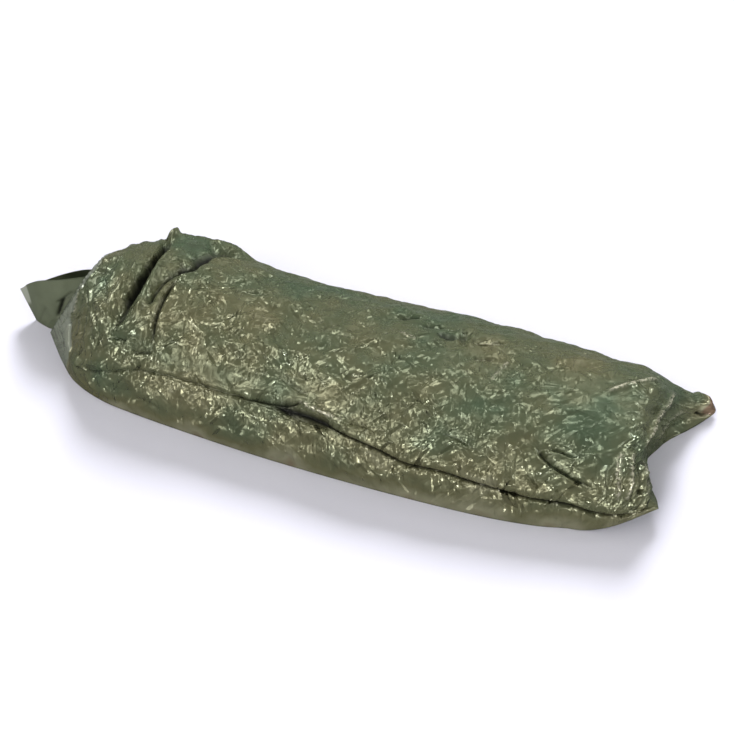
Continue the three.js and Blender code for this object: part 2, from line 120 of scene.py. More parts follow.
SIDE_WELD_COLUMNS = ["along", "degrees", "groove", "lip"]
SIDE_WELD = [
    [-1105, 16, 0, 0],
    [-960, 12, 3, 2],
    [-860, 14, 6, 3],
    [-760, 21, 8, 4],
    [-640, 29, 8, 4],
    [-490, 34, 8, 4],
    [-330, 35.5, 8, 4],
    [-230, 35, 5, 3],
    [-130, 36, 5, 3],
    [-30, 35, 9, 5],
    [50, 32.5, 18, 8],
    [150, 29, 17, 7],
    [250, 25.5, 26, 10],
    [340, 26, 22, 9],
    [450, 25, 26, 10],
    [560, 23, 28, 10],
    [690, 21, 28, 10],
    [790, 17, 24, 8],
    [870, 13, 14, 5],
    [1030, 12, 0, 0],
]
GROOVE_WIDTH = 11
LIP_WIDTH = 12
FULL_LIP = 8                # mm, height of a lip that laps in full
WELD_LAP = 12               # mm that such a lip hangs over the groove
WELD_LAP_AT = 0.4           # of the lip's width above the weld, where it laps most
WELD_LAP_REACH = 0.8        # of the lip's width

# Main folds. Each runs from one place to another by way of a third, given as a
# length along the bag and degrees round it from the near floor edge. A positive
# height is a ridge and a negative one a trough. Lap is how far the film on the
# fold's head side or upper side leans over it.

FOLD_COLUMNS = ["from_along", "from_degrees", "via_along", "via_degrees",
                "to_along", "to_degrees", "height", "width", "lap"]
FOLDS = {
    # Across the chest
    "chest_trough": [-824, 116, -779, 88, -770, 62, -58, 23, 5],
    "chest_trough_low": [-772, 68, -764, 56, -778, 44, -21, 18, 5],
    "chest_band": [-800, 106, -727, 76, -712, 50, 20, 18, 0],
    "band_edge": [-664, 89, -699, 79, -686, 60, -28, 10, 8],
    "band_trough": [-666, 86, -658, 66, -616, 42, -26, 10, 7],
    "band_pinch": [-686, 89, -662, 90, -638, 93, -36, 11, 0],
    "pinch_up": [-652, 91, -640, 98, -634, 110, -26, 9, 0],
    "pinch_head": [-700, 95, -682, 92, -664, 90, -14, 8, 0],
    "far_lump": [-852, 120, -715, 125, -520, 133, 32, 43, 0],
    "lump_tab": [-824, 116, -814, 120, -804, 124, 21, 19, 0],
    "lump_crease": [-680, 125, -660, 120, -636, 114, -19, 15, 0],
    "lump_trough": [-650, 93, -634, 112, -540, 127, -25, 19, 0],
    "chest_pocket": [-688, 37, -650, 38, -612, 41, -15, 12, 7],
    "chest_tuck": [-762, 40, -736, 41, -708, 42, -14, 9, 6],
    # From the mouth over the shoulder
    "shoulder_ridge": [-850, 96, -836, 62, -862, 34, 10, 32, 0],
    "mouth_crease": [-1010, 51, -945, 42, -918, 24, -9, 11, 4],
    "mouth_ridge": [-1070, 58, -985, 52, -940, 46, 7, 9, 0],
    "mouth_gather": [-1090, 68, -1000, 70, -930, 72, -7, 10, 0],
    "mouth_pleat": [-1092, 84, -1010, 86, -920, 84, 7, 11, 0],
    "far_gather": [-1092, 104, -1010, 104, -930, 100, -7, 11, 0],
    "hem_crease": [-1030, 26, -1000, 19, -946, 13, -27, 9, 2],
    "hem_roll": [-1090, 14, -1086, 28, -1078, 44, 3, 6, 0],
    "hem_roll_low": [-1060, 10, -1052, 20, -1046, 30, 6, 7, 0],
    "hem_ridge": [-1068, 50, -1042, 39, -1030, 32, 8, 8, 0],
    "hem_dimple": [-1082, 56, -1070, 52, -1062, 49, -16, 6, 0],
    "hem_tuck": [-1076, 42, -1062, 36, -1052, 29, -9, 7, 4],
    "shoulder_crease": [-920, 48, -840, 41, -818, 29, -10, 9, 4],
    "shoulder_pleat": [-905, 52, -826, 50, -744, 46, 7, 9, 0],
    "shoulder_tuck": [-955, 67, -900, 61, -850, 56, -8, 9, 0],
    # Round the side weld
    "slit": [-316, 36, -200, 38, -100, 42.5, -36, 7, 13],
    "slit_lip": [-122, 43, -40, 40, 46, 38.5, 7, 7, 0],
    "slit_hollow": [-200, 36, -80, 36.5, 20, 35, -27, 15, 0],
    "low_crease": [-165, 34.5, -90, 31.5, -4, 31, -9, 8, 4],
    "weld_crease": [322, 46.5, 384, 45.5, 452, 41, -10, 9, 5],
    "waist_crease": [-218, 54, -170, 51, -84, 47, -7, 9, 3],
    "low_fold": [-660, 8, -600, 10, -550, 8, -7, 12, 0],
    # On the far side
    "far_crease": [26, 106, 56, 108, 86, 111, -26, 8, 9],
    "far_tuck": [112, 102, 138, 105, 168, 107, -26, 8, 9],
    "far_hollow": [158, 101, 206, 101, 250, 103, -19, 19, 0],
    "far_pleat_a": [220, 110, 228, 103, 234, 96, 10, 7, 0],
    "far_pleat_b": [243, 110, 250, 102, 258, 94, -9, 7, 0],
    "far_pleat_c": [262, 110, 270, 102, 280, 94, 10, 7, 0],
    "far_fold": [286, 101, 322, 104, 360, 108, -26, 8, 9],
    "far_fold_low": [306, 91, 337, 92, 366, 93, -19, 7, 7],
    "far_shine": [390, 82, 398, 89, 410, 95, 7, 7, 0],
    "far_lip": [62, 94, 94, 93, 126, 92, 8, 7, 0],
    # At the foot
    "foot_trough": [590, 52, 655, 42, 758, 31, -27, 8, 12],
    "foot_second": [614, 53.5, 656, 52, 700, 50.5, -15, 7, 8],
    "foot_ridge": [640, 42, 690, 35, 740, 28, 9, 9, 0],
    "tension_ridge": [690, 90, 738, 100, 806, 121, 14, 11, 0],
    "toe_crest": [868, 130, 878, 100, 864, 66, 21, 10, 0],
    "toe_trough": [900, 128, 905, 95, 900, 60, -11, 32, 0],
    "toe_wrinkle_a": [922, 136, 914, 110, 940, 86, -6, 9, 0],
    "toe_wrinkle_b": [950, 140, 952, 118, 988, 94, 6, 9, 0],
    "toe_wrinkle_c": [978, 146, 988, 128, 1012, 112, -6, 9, 0],
    "corner_ridge": [790, 60, 808, 44, 850, 24, 9, 7, 0],
    "corner_smooth": [770, 50, 784, 38, 812, 25, -9, 13, 0],
    "corner_pleat_a": [820, 62, 852, 46, 876, 22, 9, 7, 0],
    "corner_pleat_b": [846, 64, 896, 46, 924, 26, -7, 8, 0],
    "corner_pleat_c": [876, 66, 928, 52, 968, 34, 8, 7, 0],
    "corner_line": [888, 16, 942, 17, 1016, 20, -10, 7, 5],
    "ear_puff": [922, 170, 966, 168, 1016, 168, 12, 30, 0],
    "ear_hollow": [974, 149, 1000, 153, 1040, 160, -30, 13, 8],
    "ear_roll": [990, 134, 1012, 140, 1030, 149, 12, 11, 0],
}
SQUARE_FOLDS = ["chest_trough", "lump_tab"]     # steep sides and a flat middle
FOLD_STEPS = 10
END_HEIGHT = 0.25           # of a fold's height, left at its very end
FADE_SHARE = 0.22           # of a fold's length, at each end
SQUARE_FADE = 0.1           # the same for a fold with steep sides
LAP_AT = 0.7                # of a fold's width beside its line, where it laps most
LAP_REACH = 0.6             # of a fold's width

# Ridges along which a highlight is painted into the film's colour, and how much
RIDGE_HIGHLIGHT = {"tension_ridge": 1.0, "toe_crest": 1.0, "slit_lip": 0.8, "corner_ridge": 0.7,
        "corner_pleat_a": 0.6, "corner_pleat_c": 0.5, "far_shine": 0.4,
        "far_lip": 0.6, "hem_ridge": 0.6, "toe_wrinkle_b": 0.4}
RIDGE_HIGHLIGHT_WIDTH = 4.5            # mm

# Depth in a fold at which the light begins to fail, painted as shade into the colour, and over
# which it does, in mm
DEEP_FROM = 4
DEEP_REACH = 20
WELD_SHADE = 1.5            # how much sooner it fails in the groove of the side weld

# Short straight creases that run anywhere. Their places are a length along the bag
# and a girth round it, in mm as their sizes are
CREASES = {"count": 90, "along": (-955, 820), "girth": (60, 780), "length": (45, 170),
           "height": (2.5, 6.0), "width": (5.5, 10.0), "seed": 21}
CREASE_FADE = 0.4           # of a crease's length, at each end

# Crumple of the film: layers of flat facets, each of one size and height in mm,
# length over width, and turn of that length from the bag's own in degrees

CRUMPLE_COLUMNS = ["size", "height", "length", "turn", "seed"]
CRUMPLE = [
    [120, 2.6, 1.4, 0, 11],
    [58, 4.0, 1.8, 35, 12],
    [36, 3.6, 2.2, -40, 13],
    [23, 2.5, 2.4, 20, 14],
    [15, 1.3, 1.8, 75, 15],
]
CORNER_STRAY = 0.42         # of its size, that a facet's corner strays from even rows
CRISP_RISE = 0.5            # how much higher the facets are where the film is crinkled hard
EDGE_CALM = 34              # mm off the ground, below which the film lies calm

# Where the film is crinkled harder than elsewhere, or lies smoother: the middle
# of each place, in length along the bag and degrees round it, its reach both
# ways in mm, how much harder (above 0) or smoother (below 0), and how far its
# colour moves up the lacquer ramp towards brown (above 0) or down it towards green and then
# painted shade (below 0)

CRISP_COLUMNS = ["along", "degrees", "reach_along", "reach_girth", "more", "tint_and_shade_shift"]
CRISP = {
    "flank": [100, 23, 640, 50, 0.55, 0.14],
    "flank_foot": [600, 20, 220, 50, 0.4, 0.06],
    "flank_head": [-680, 26, 130, 60, 0.5, 0.12],
    "shoulder": [-850, 62, 60, 100, 0.1, 0.08],
    "under_band": [-640, 60, 40, 70, 0.3, 0.05],
    "belly": [-350, 70, 260, 130, 0.35, 0.13],
    "hip": [150, 42, 200, 60, 0.4, 0.0],
    "near_toe": [900, 38, 80, 130, 0.9, 0.0],
    "toe_crest": [830, 66, 26, 50, 1.2, 0.0],
    "foot_near": [690, 26, 90, 45, 0.5, 0.0],
    "foot_top": [715, 84, 120, 150, -0.7, -0.18],
    "foot_side": [770, 46, 26, 120, -0.7, 0.0],
    # Painted shade: the lump's colour is pushed down to the dark end of the lacquer ramp
    "lump": [-715, 116, 75, 75, -0.75, -0.3],
    "chest_band": [-738, 74, 26, 120, -0.6, -0.1],
    "far_top": [-150, 124, 520, 70, 0.05, -0.12],
    "far_middle": [310, 94, 50, 90, -0.5, 0.0],
    "far_green": [380, 66, 90, 50, -0.5, -0.2],
    "far_hollow": [206, 103, 50, 20, -0.7, -0.15],
    "head_flank": [-540, 20, 80, 60, -0.5, 0.1],
    "above_weld": [-430, 42, 170, 32, -0.7, -0.08],
    "slit_top": [-150, 48, 110, 34, -0.75, -0.1],
    "mouth_side": [-985, 62, 45, 110, -0.5, 0.0],
    "mouth_low": [-900, 25, 90, 60, 1.0, 0.2],
    "ear": [980, 150, 60, 90, -0.5, 0.25],
    "crest": [873, 105, 14, 90, 1.0, 0.0],
    "ear_tip": [1006, 168, 36, 60, -0.3, 0.8],
    "ground": [0, 0, 1400, 48, -0.7, 0.36],
}
CRISP_LEAST = -0.75
WELD_CALM = (0.86, 1.0)     # share of the foot panel over which it grows calm

# The hem at the mouth

HEM_COLUMNS = ["degrees", "width"]
HEM = [                     # it lies slack, and so wider, towards the ground
    [0, 150],
    [15, 142],
    [24, 84],
    [36, 42],
    [60, 34],
    [180, 34],
]
HEM_RISE = 1.8
HEM_EDGE = 3                # mm, half of the step down from the hem to the film
HEM_PRESSED = 0.8           # share of the crumple that the hem presses flat

# Gathers round the mouth, in mm. How far they stray from an even pitch, and the
# share of the height that they have, change from place to place round it

GATHERS = {"pitch": 21, "height": 4.6, "reach": 60, "stray": 9, "stray_every": 35,
           "least": 0.3, "least_every": 60, "round": 1400, "seed": 31}

# The hood's sections, from its tail inside the mouth to its welded back edge

HOOD_COLUMNS = ["near_x", "near_y", "far_x", "far_y", "floor_z", "near_rim_x", "near_rim_y",
                "near_rim_z", "far_rim_x", "far_rim_y", "far_rim_z", "bow"]
LIFT = 2.3
HOOD = [
    [-1062, -66, -1058, 204, LIFT, -930, 28, 226, -1000, 172, 134, 15],
    [-1088, -44, -1084, 182, LIFT, -966, 23, 216, -1030, 164, 132, 15],
    [-1110, -39, -1108, 166, LIFT, -1000, 10, 208, -1062, 154, 130, 14],
    [-1128, -35, -1130, 150, 0, -1050, -12, 199, -1094, 145, 124, 13],
    [-1148, -29, -1152, 118, 0, -1102, -20, 186, -1128, 126, 117, 11],
    [-1165, -24, -1170, 78, 0, -1152, -18, 168, -1164, 98, 109, 8],
    [-1177, -19, -1181, 30, 0, -1200, -6, 136, -1204, 58, 99, 4],
    [-1183, -16, -1184, -6, 0, -1236, 8, 102, -1237, 22, 90, 1],
]
HOOD_TIP_FLOOR = [-1186, -14, 0]
HOOD_TIP_RIM = [-1257, 18, 84]
HOOD_ROWS = 72
HOOD_WALL_STEPS = 34
HOOD_FLOOR_STEPS = 14
HOOD_WALL = 1.2             # mm

# Wrinkles of the hood's near side beside the mouth, in shares of its length from
# the tail to the back edge and of its drop from the rim to the floor, and in mm

HOOD_WRINKLE_COLUMNS = ["from_row", "from_drop", "to_row", "to_drop", "depth", "width"]
HOOD_WRINKLES = {
    "upper": [0.24, 0.24, 0.37, 0.46, 6, 4],
    "lower": [0.24, 0.34, 0.31, 0.4, 4, 4],
    "slot": [0.315, 0.36, 0.262, 0.74, 13, 4.5],
    "back": [0.46, 0.5, 0.6, 0.95, 3, 12],
    "tail": [0.3, 0.72, 0.42, 0.98, -3, 12],
}
HOOD_SPAN = 210             # mm, about the hood's length and its drop
HOOD_FADE = 0.18            # of a wrinkle's length, at each end
HOOD_DEEP_FROM = 1.5        # mm in a wrinkle at which the light begins to fail, painted as shade
HOOD_DEEP_REACH = 7         # mm over which it does
FLANGE_FROM = 0.8           # share of the hood's length where its back weld begins
FLANGE_LEAN = 0.05          # how much sooner it begins at the floor
FLANGE_EDGE = 0.01          # share of its length, half of the step to the weld
FLANGE_DROP = (0.4, 0.55)   # shares of its drop between which the weld fades out

# From the maker's frame to the shared one, in metres: the mouth's floor edge is
# the body's lowest X, and the hood's near floor corner is its lowest Y

SHIFT = Vector((
    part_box("bag_body")[0].x - MOUTH_X * MM,
    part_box("hood")[0].y - HOOD[0][1] * MM,
    0.0,
))


# Small tools

CREASE_WIDTH = 0.72         # of a fold's width, for the crease along its top
STEEP_SIDE = (0.6, 1.25)    # between these shares of its width, a square fold's side


def named(columns, values):
    """Columns of a table's values, by name."""
    return {name: values[..., i] for i, name in enumerate(columns)}


def hermite(start, start_slope, end, end_slope, t):
    t2, t3 = t * t, t * t * t
    return ((2 * t3 - 3 * t2 + 1) * start + (t3 - 2 * t2 + t) * start_slope
            + (3 * t2 - 2 * t3) * end + (t3 - t2) * end_slope)


def read_table(rows, at):
    """Every column of a table at values of its first one, on a smooth curve."""
    rows, at = np.array(rows, float), np.asarray(at, float)
    key, n = rows[:, 0], len(rows)
    low, high = np.maximum(np.arange(n) - 1, 0), np.minimum(np.arange(n) + 1, n - 1)
    slope = (rows[high] - rows[low]) / (key[high] - key[low])[:, None]
    i = np.clip(np.searchsorted(key, at, side="right") - 1, 0, n - 2)
    span = (key[i + 1] - key[i])[..., None]
    t = np.clip((at - key[i])[..., None] / span, 0, 1)
    return hermite(rows[i], slope[i] * span, rows[i + 1], slope[i + 1] * span, t)


def smooth(low, high, x):
    t = np.clip((x - low) / (high - low), 0, 1)
    return t * t * (3 - 2 * t)


def bell(distance, width):
    return np.exp(-((distance / width) ** 2))


def tent(distance, width):
    """Like bell, with a crisp crease at its top."""
    crease = np.exp(-np.abs(distance) / (CREASE_WIDTH * width))
    return 0.5 * bell(distance, width) + 0.5 * crease


def square(distance, width):
    """Like bell, with a flat top and steep sides."""
    return 1 - smooth(*STEEP_SIDE, distance / width)


def unit(vectors):
    length = np.linalg.norm(vectors, axis=-1, keepdims=True)
    return vectors / np.maximum(length, 1e-9)


def along_rows(grid):
    """Step from the row before to the row after, at each point of a grid."""
    return np.gradient(grid, axis=0)


def along_columns(grid):
    return np.gradient(grid, axis=1)


# The bag's smooth form

def foot_share(along):
    return np.clip((along - FOOT_X) / FOOT_REACH, 0, 1)


def foot_point(start, angle, share, rise):
    """From the last hoop down to the foot weld."""
    weld = named(WELD_COLUMNS, read_table(FOOT_WELD, -np.cos(angle)))
    across = weld["y"] - start[..., 1]
    leave_x = LEAVING["along"] + LEAVING["along_crown"] * rise
    arrive_x = ARRIVING["along"] + ARRIVING["along_crown"] * rise
    arrive_z = -ARRIVING["down"] - ARRIVING["down_crown"] * rise
    x = hermite(start[..., 0], leave_x, weld["x"], arrive_x, share)
    y = hermite(start[..., 1], across * LEAVING["across"],
                weld["y"], across * ARRIVING["across"], share)
    z = hermite(start[..., 2], -LEAVING["down_crown"] * rise, weld["z"], arrive_z, share)
    return np.stack([x, y, np.maximum(z, 0)], -1)


def top_point(along, angle):
    hoop = named(HOOP_COLUMNS, read_table(HOOPS, np.minimum(along, FOOT_X)))
    rise = np.maximum(np.sin(angle), 0)
    side = np.sign(np.cos(angle)) * np.abs(np.cos(angle)) ** hoop["square"]
    reach = np.where(side > 0, hoop["crown_y"] - hoop["near"], hoop["far"] - hoop["crown_y"])
    start = np.stack([
        hoop["floor_x"] + (hoop["crown_x"] - hoop["floor_x"]) * rise,
        hoop["crown_y"] - reach * side,
        hoop["crown_z"] * rise ** hoop["square"],
    ], -1)
    return foot_point(start, angle, foot_share(along), rise)


def underside_point(along, share):
    """Across the underside, from its near floor edge (share = 0) to its far one."""
    along, share = np.broadcast_arrays(along, share)
    hoop = named(HOOP_COLUMNS, read_table(HOOPS, np.minimum(along, FOOT_X)))
    start = np.stack([
        hoop["floor_x"],
        hoop["near"] + (hoop["far"] - hoop["near"]) * share,
        0 * share,
    ], -1)
    angle = np.arccos(1 - 2 * share)
    return foot_point(start, angle, foot_share(along), 0 * share)


SAMPLE_ANGLES = np.linspace(0, math.pi, GIRTH_SAMPLES + 1)


def girth_table(along):
    """Length round the top from the near floor edge, at each sample angle, in each row."""
    points = top_point(np.asarray(along, float)[:, None], SAMPLE_ANGLES[None, :])
    steps = np.linalg.norm(np.diff(points, axis=1), axis=-1)
    return np.concatenate([np.zeros((len(points), 1)), np.cumsum(steps, axis=1)], axis=1)


def girth_at(along, degrees):
    tables = girth_table(np.atleast_1d(along))
    angles = np.radians(np.broadcast_to(degrees, (len(tables),)))
    return np.array([np.interp(a, SAMPLE_ANGLES, t) for a, t in zip(angles, tables)])


# Folds on the film, in length along it and girth round it

def fold_line(fold):
    """Points of one fold's line."""
    t = np.linspace(0, 1, FOLD_STEPS + 1)

    def bend(start, via, end):
        pull = 2 * via - (start + end) / 2
        return (1 - t) ** 2 * start + 2 * t * (1 - t) * pull + t * t * end

    along = bend(fold["from_along"], fold["via_along"], fold["to_along"])
    degrees = bend(fold["from_degrees"], fold["via_degrees"], fold["to_degrees"])
    return np.stack([along, girth_at(along, degrees)], -1)


def near_line(line, along, girth):
    """Distance of each place from a line, which side it lies on, and how far along it."""
    nearest = np.full(along.shape, 1e9)
    side = np.zeros(along.shape)
    share = np.zeros(along.shape)
    last = len(line) - 1
    for i in range(last):
        run = line[i + 1] - line[i]
        da, dg = along - line[i, 0], girth - line[i, 1]
        t = np.clip((da * run[0] + dg * run[1]) / (run @ run), 0, 1)
        distance = np.hypot(da - t * run[0], dg - t * run[1])
        closer = distance < nearest
        nearest = np.where(closer, distance, nearest)
        side = np.where(closer, np.sign(da * run[1] - dg * run[0]), side)
        share = np.where(closer, (i + t) / last, share)
    return nearest, side, share


def fold_moves(along, girth):
    """Height of all folds, how far they carry the film both ways, and how much highlight is
    painted along them.
    """
    height, ridge_highlight = np.zeros(along.shape), np.zeros(along.shape)
    lean = np.zeros(along.shape + (2,))
    for name, row in FOLDS.items():
        fold = dict(zip(FOLD_COLUMNS, row))
        line = fold_line(fold)
        nearest, side, share = near_line(line, along, girth)
        profile, fade = (square, SQUARE_FADE) if name in SQUARE_FOLDS else (tent, FADE_SHARE)
        inner = smooth(0, fade, share) * smooth(0, fade, 1 - share)
        strength = END_HEIGHT + (1 - END_HEIGHT) * inner
        height += fold["height"] * profile(nearest, fold["width"]) * strength
        ridge_highlight = np.maximum(ridge_highlight, RIDGE_HIGHLIGHT.get(name, 0) * bell(nearest, RIDGE_HIGHLIGHT_WIDTH) * inner)
        if fold["lap"]:
            run = line[-1] - line[0]
            over = np.array([run[1], -run[0]]) / np.hypot(*run)
            turn = 1 if over[0] > over[1] else -1
            leaning = np.where(side * turn < 0, fold["lap"], 0.0)
            lip = bell(nearest - LAP_AT * fold["width"], LAP_REACH * fold["width"])
            lean += (leaning * lip * inner)[..., None] * over * turn
    return height, lean, ridge_highlight


def crease_moves(along, girth):
    """Height of the short straight creases that run anywhere."""
    dice = np.random.default_rng(CREASES["seed"])
    height = np.zeros(along.shape)
    for _ in range(CREASES["count"]):
        middle = dice.uniform(*zip(CREASES["along"], CREASES["girth"]))
        turn = dice.uniform(0, math.pi)
        half = dice.uniform(*CREASES["length"]) / 2 * np.array([math.cos(turn), math.sin(turn)])
        rise = dice.uniform(*CREASES["height"]) * (1 if dice.random() < 0.5 else -1)
        width = dice.uniform(*CREASES["width"])
        nearest, _, share = near_line(np.array([middle - half, middle + half]), along, girth)
        fade = smooth(0, CREASE_FADE, share) * smooth(0, CREASE_FADE, 1 - share)
        height += rise * tent(nearest, width) * fade
    return height


def facets(along, girth, size, height, length, turn, seed):
    """Height of a layer of flat facets of about one size, crumpled at random."""
    dice = np.random.default_rng(seed)
    c, s = math.cos(math.radians(turn)), math.sin(math.radians(turn))
    along, girth = (along * c + girth * s) / length, girth * c - along * s
    low_a, low_g = along.min() - 2 * size, girth.min() - 2 * size
    rows = int((along.max() - low_a) / size) + 4
    columns = int((girth.max() - low_g) / size) + 4
    i, j = np.meshgrid(np.arange(rows), np.arange(columns), indexing="ij")
    shift = dice.uniform(-CORNER_STRAY, CORNER_STRAY, (rows, columns, 2))
    corners = np.stack([
        low_a + (i + shift[..., 0]) * size,
        low_g + (j + shift[..., 1]) * size,
        height * dice.uniform(-1, 1, (rows, columns)),
    ], -1).reshape(-1, 3)
    at = (i * columns + j)[:-1, :-1]
    quads = np.stack([at, at + columns, at + columns + 1, at + 1], -1).reshape(-1, 4)
    turned = dice.random(len(quads)) < 0.5
    first = np.where(turned[:, None], quads[:, [0, 1, 2]], quads[:, [0, 1, 3]])
    second = np.where(turned[:, None], quads[:, [0, 2, 3]], quads[:, [1, 2, 3]])
    tree = BVHTree.FromPolygons(corners.tolist(), np.concatenate([first, second]).tolist())
    down, start = Vector((0, 0, -1)), 2 * height + 1
    found = np.zeros(along.size)
    for n, (a, g) in enumerate(zip(along.ravel().tolist(), girth.ravel().tolist())):
        hit = tree.ray_cast(Vector((a, g, start)), down)[0]
        found[n] = hit.z if hit else 0.0
    return found.reshape(along.shape)


def crispness(along, girth):
    """How much harder or smoother than elsewhere the film is, and how far its colour moves on
    the lacquer ramp, which paints shade at its dark end.
    """
    crisp = np.zeros(along.shape)
    tint_and_shade = np.zeros(along.shape)
    for row in CRISP.values():
        place = dict(zip(CRISP_COLUMNS, row))
        middle = girth_at(np.array([place["along"]]), place["degrees"])[0]
        spread = np.hypot((along - place["along"]) / place["reach_along"],
                          (girth - middle) / place["reach_girth"])
        share = bell(spread, 1)
        crisp += place["more"] * share
        tint_and_shade += place["tint_and_shade_shift"] * share
    return np.maximum(crisp, CRISP_LEAST), tint_and_shade


def side_weld_moves(along, girth, weld_girth):
    """The groove of the near side weld, and the film that laps down over it."""
    weld = named(SIDE_WELD_COLUMNS, read_table(SIDE_WELD, along[:, 0]))
    above = girth - weld_girth[:, None]
    groove, lip = weld["groove"][:, None], weld["lip"][:, None]
    height = lip * bell(above - LIP_WIDTH, LIP_WIDTH) - groove * tent(
        above + GROOVE_WIDTH / 2, GROOVE_WIDTH)
    lap = -WELD_LAP * lip / FULL_LIP * bell(above - WELD_LAP_AT * LIP_WIDTH,
                                            WELD_LAP_REACH * LIP_WIDTH)
    return height, lap


def hem_moves(along, girth, angles):
    """The turned hem's thickness, and the gathers that run back from the mouth."""
    back = along - MOUTH_X
    width = named(HEM_COLUMNS, read_table(HEM, np.degrees(angles)))["width"]
    band = 1 - smooth(width - HEM_EDGE, width + HEM_EDGE, back)
    dice = np.random.default_rng(GATHERS["seed"])
    at = np.arange(0, GATHERS["round"], GATHERS["stray_every"])
    stray = np.interp(girth, at, dice.uniform(-GATHERS["stray"], GATHERS["stray"], at.size))
    wave = np.abs(np.sin(math.pi * (girth + stray) / GATHERS["pitch"])) - 0.5
    at = np.arange(0, GATHERS["round"], GATHERS["least_every"])
    strength = np.interp(girth, at, dice.uniform(GATHERS["least"], 1.0, at.size))
    gathers = GATHERS["height"] * wave * strength * np.exp(-back / GATHERS["reach"])
    return HEM_RISE * band + gathers, band


# The film's mesh

def film_rows():
    count = round((FOOT_X - MOUTH_X) / ROW_STEP / LINING_STEP) * LINING_STEP
    foot_count = round(FOOT_REACH / ROW_STEP / LINING_STEP) * LINING_STEP
    flat = np.linspace(MOUTH_X, FOOT_X, count, endpoint=False)
    return np.concatenate([flat, np.linspace(FOOT_X, FOOT_X + FOOT_REACH, foot_count + 1)])


def column_girths(total, weld):
    """Places of one row's points round it, closest together at the side weld."""
    at = np.linspace(0, total, GIRTH_SAMPLES + 1)
    share = np.cumsum(1 + FINER * bell(at - weld, FINER_REACH))
    share = (share - share[0]) / (share[-1] - share[0])
    return np.interp(np.linspace(0, 1, FILM_COLUMNS + 1), share, at)


def film_grid():
    """The crumpled outside of the film's top: points, normals and what the finish needs."""
    places = film_rows()
    tables = girth_table(places)
    weld_degrees = named(SIDE_WELD_COLUMNS, read_table(SIDE_WELD, places))["degrees"]
    weld_girth = girth_at(places, weld_degrees)
    girth = np.array([column_girths(t[-1], g) for t, g in zip(tables, weld_girth)])
    angles = np.array([np.interp(g, t, SAMPLE_ANGLES) for g, t in zip(girth, tables)])
    along = np.repeat(places[:, None], FILM_COLUMNS + 1, axis=1)
    smooth_form = top_point(along, angles)
    by_row, by_column = along_rows(smooth_form), along_columns(smooth_form)
    normal = unit(np.cross(by_row, by_column))

    fold_height, lean, ridge_highlight = fold_moves(along, girth)
    fold_height += crease_moves(along, girth)
    weld_height, lap = side_weld_moves(along, girth, weld_girth)
    hem_height, hem = hem_moves(along, girth, angles)
    crisp, tint_and_shade = crispness(along, girth)
    crumple = sum(facets(along, girth, **dict(zip(CRUMPLE_COLUMNS, row))) for row in CRUMPLE)
    crumple *= (1 + CRISP_RISE * crisp) * (1 - HEM_PRESSED * hem)

    off_ground = smooth(0, EDGE_CALM, smooth_form[..., 2])
    foot_calm = 1 - smooth(*WELD_CALM, foot_share(along))
    calm = off_ground * foot_calm
    # Painted shade: the colour goes dark deep in the folds and in the side weld's groove
    depth = -fold_height - WELD_SHADE * weld_height
    fold_shade = np.clip((depth - DEEP_FROM) / DEEP_REACH, 0, 1) * calm
    height = (fold_height + weld_height + crumple) * calm
    height += hem_height * off_ground
    point = smooth_form + normal * height[..., None]
    point += unit(by_row) * (lean[..., 0] * calm)[..., None]
    point += unit(by_column) * ((lean[..., 1] + lap) * calm)[..., None]
    point[..., 2] = np.maximum(point[..., 2], 0)
    point[:, 0] = smooth_form[:, 0]
    point[:, -1] = smooth_form[:, -1]
    return {"places": places, "point": point, "smooth": smooth_form, "normal": normal,
            "height": height, "hem": hem, "crisp": crisp, "tint_and_shade": tint_and_shade, "fold_shade": fold_shade,
            "ridge_highlight": ridge_highlight, "on_film": np.stack([along, girth, 0 * along], -1)}


def lowest_near(values, step):
    """The least value round every step-th place of a grid."""
    padded = np.pad(values, step, mode="edge")
    least = values.copy()
    for di in range(2 * step + 1):
        for dj in range(2 * step + 1):
            least = np.minimum(least, padded[di:di + values.shape[0], dj:dj + values.shape[1]])
    return least[::step, ::step]


def lining_grid(film):
    """The inside of the film's top, coarser, and never nearer than a wall."""
    step = LINING_STEP
    least = lowest_near(film["height"], step)
    base, normal = film["smooth"][::step, ::step], film["normal"][::step, ::step]
    inset = least - WALL - LINING_CLEAR
    point = base + normal * inset[..., None]
    point[..., 2] = np.maximum(point[..., 2], WALL)
    # Along the floor it stands in from the outside and up from the underside
    point[:, 0] = base[:, 0] + [0, 2 * WALL, WALL]
    point[:, -1] = base[:, -1] + [0, -2 * WALL, WALL]
    return point


def underside_grid(places, columns):
    share = np.linspace(0, 1, columns + 1)[None, :]
    return underside_point(places[:, None], share)


